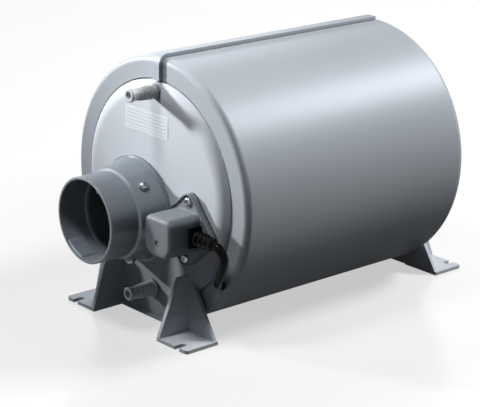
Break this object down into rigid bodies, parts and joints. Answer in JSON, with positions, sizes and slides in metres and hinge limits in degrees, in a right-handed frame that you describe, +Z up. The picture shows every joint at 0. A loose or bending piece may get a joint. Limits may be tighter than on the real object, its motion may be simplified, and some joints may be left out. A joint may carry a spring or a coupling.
{
  "type": "caravan water heater",
  "caption": "Horizontal round water heater for a caravan, with a warm air duct through its tank, an electric element under a terminal cover, hose tails and moulded feet.",
  "frame": {"origin": "on the floor, under the middle of the casing", "axes": "+X to the right of someone facing the front, +Y along the casing from the front to the back, +Z up"},
  "size_m": [0.22, 0.3734, 0.2255],
  "materials": {
    "casing": "satin silver grey, moulded",
    "end_plate": "satin silver grey, moulded",
    "grey_plastic": "fine matt",
    "hose_tail": "satin",
    "foam": "bead foam",
    "tank_steel": "drawn sheet",
    "tube": "dull, dark",
    "seal": "matt",
    "screw": "bright",
    "element_sheath": "drawn tube",
    "terminal": "matt",
    "cutout": "plated",
    "button": "satin",
    "black_rubber": "glossy",
    "lead": "glossy"
  },
  "bodies": {
    "heater": {"left_shell": "casing", "right_shell": "casing", "foam_lining_left": "foam", "foam_lining_right": "foam", "front_foam_pad": "foam", "rear_foam_pad": "foam", "water_tank": "tank_steel", "duct_tube": "tube", "front_end_plate": "end_plate", "rear_end_plate": "end_plate", "front_duct_collar": "grey_plastic", "rear_duct_collar": "grey_plastic", "duct_seals": "seal", "duct_screws": "screw", "hot_water_outlet": "hose_tail", "cold_water_inlet": "hose_tail", "tail_seals": "seal", "heating_element": "element_sheath", "element_flange": "screw", "element_gasket": "seal", "terminal_cover": "grey_plastic", "cover_screws": "screw", "terminal_block": "terminal", "thermal_cutout": "cutout", "strain_relief": "black_rubber", "mains_lead": "lead"},
    "reset_button": {"reset_button": "button"}
  },
  "joints": [
    {"name": "reset_press", "type": "slide", "parent": "heater", "child": "reset_button", "axis": [0, 1, 0], "range_m": [0, 0.0025], "stiffness_N_per_m": 400}
  ]
}
